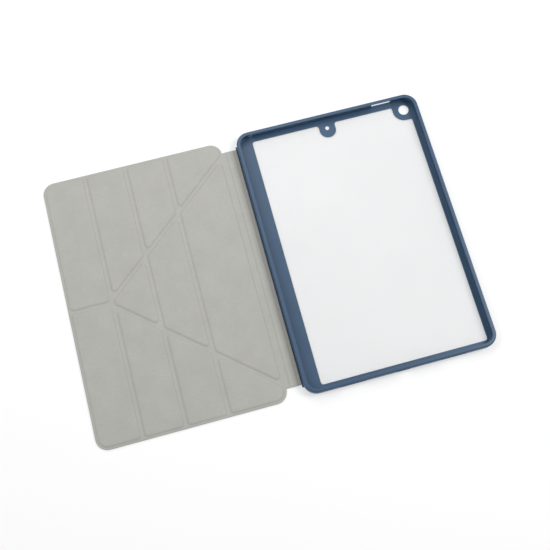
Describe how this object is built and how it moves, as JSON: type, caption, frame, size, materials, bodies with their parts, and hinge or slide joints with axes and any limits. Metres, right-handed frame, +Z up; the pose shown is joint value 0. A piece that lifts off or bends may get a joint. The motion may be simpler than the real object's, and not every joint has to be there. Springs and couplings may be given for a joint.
{
  "type": "tablet case",
  "caption": "Folio tablet case lying open: folding microfibre-lined cover, spine strip and soft-framed tray with a clear back, camera hole and press-through buttons.",
  "frame": {"origin": "middle of the underside of the open case's box, on the surface that it lies on", "axes": "+X from the cover's free edge towards the tray, +Y towards the camera end, +Z up out of the tray"},
  "size_m": [0.3696, 0.2576, 0.0094],
  "materials": {
    "frame_soft": "satin navy soft plastic, moulded",
    "button_soft": "satin navy soft plastic",
    "clear_back": "clear hard plastic, faintly frosted",
    "outer_skin": "navy leather-look skin with a fine grain",
    "glue": "pale adhesive film",
    "lining": "warm grey microfibre",
    "fold": "skin and lining bonded together",
    "stiffener": "pressed board",
    "film": "thin plastic film",
    "magnet": "nickel-plated magnet"
  },
  "bodies": {
    "tray": {"tray_frame": "frame_soft", "back_panel": "clear_back", "anchor_strip": "outer_skin", "anchor_glue": "glue"},
    "power_button": {"power_button": "button_soft"},
    "volume_up_button": {"volume_up_button": "button_soft"},
    "volume_down_button": {"volume_down_button": "button_soft"},
    "spine": {"tray_spine_fold": "fold", "spine_skin": "outer_skin", "spine_film": "film", "spine_lining": "lining", "spine_cover_fold": "fold"},
    "column_4": {"column_4_skin": "outer_skin", "column_4_lining": "lining", "board_4_lower": "stiffener", "board_4_middle": "stiffener", "board_4_upper": "stiffener", "stand_magnets": "magnet", "crease_c_fold": "fold"},
    "column_3": {"column_3_skin": "outer_skin", "column_3_lining": "lining", "board_3_lower": "stiffener", "board_3_middle": "stiffener", "board_3_upper": "stiffener", "crease_b_fold": "fold"},
    "column_2": {"column_2_skin": "outer_skin", "column_2_lining": "lining", "board_2_lower": "stiffener", "board_2_middle": "stiffener", "board_2_upper": "stiffener", "crease_a_fold": "fold"},
    "column_1": {"column_1_skin": "outer_skin", "column_1_lining": "lining", "board_1_lower": "stiffener", "board_1_upper": "stiffener", "closure_magnets": "magnet"}
  },
  "joints": [
    {"name": "spine_to_tray_hinge", "type": "hinge", "parent": "tray", "child": "spine", "pos_m": [0.0018, -0.00025, 0], "axis": [0, 1, 0], "range_deg": [-179, 90], "deforming": ["tray_spine_fold"]},
    {"name": "cover_to_spine_hinge", "type": "hinge", "parent": "spine", "child": "column_4", "pos_m": [-0.0097, -0.00025, 0], "axis": [0, 1, 0], "range_deg": [0, 90], "deforming": ["spine_cover_fold"]},
    {"name": "crease_c", "type": "hinge", "parent": "column_4", "child": "column_3", "pos_m": [-0.0661, -0.00025, 0.00105], "axis": [0, -1, 0], "range_deg": [-122, 60], "deforming": ["crease_c_fold"]},
    {"name": "crease_b", "type": "hinge", "parent": "column_3", "child": "column_2", "pos_m": [-0.105, -0.00025, 0.00105], "axis": [0, -1, 0], "range_deg": [-109, 60], "deforming": ["crease_b_fold"]},
    {"name": "crease_a", "type": "hinge", "parent": "column_2", "child": "column_1", "pos_m": [-0.1439, -0.00025, 0.00105], "axis": [0, -1, 0], "range_deg": [-129, 60], "deforming": ["crease_a_fold"]},
    {"name": "power_press", "type": "slide", "parent": "tray", "child": "power_button", "axis": [0, -1, 0], "range_m": [0, 0.0005], "stiffness_N_per_m": 3000},
    {"name": "volume_up_press", "type": "slide", "parent": "tray", "child": "volume_up_button", "axis": [-1, 0, 0], "range_m": [0, 0.0005], "stiffness_N_per_m": 3000},
    {"name": "volume_down_press", "type": "slide", "parent": "tray", "child": "volume_down_button", "axis": [-1, 0, 0], "range_m": [0, 0.0005], "stiffness_N_per_m": 3000}
  ]
}
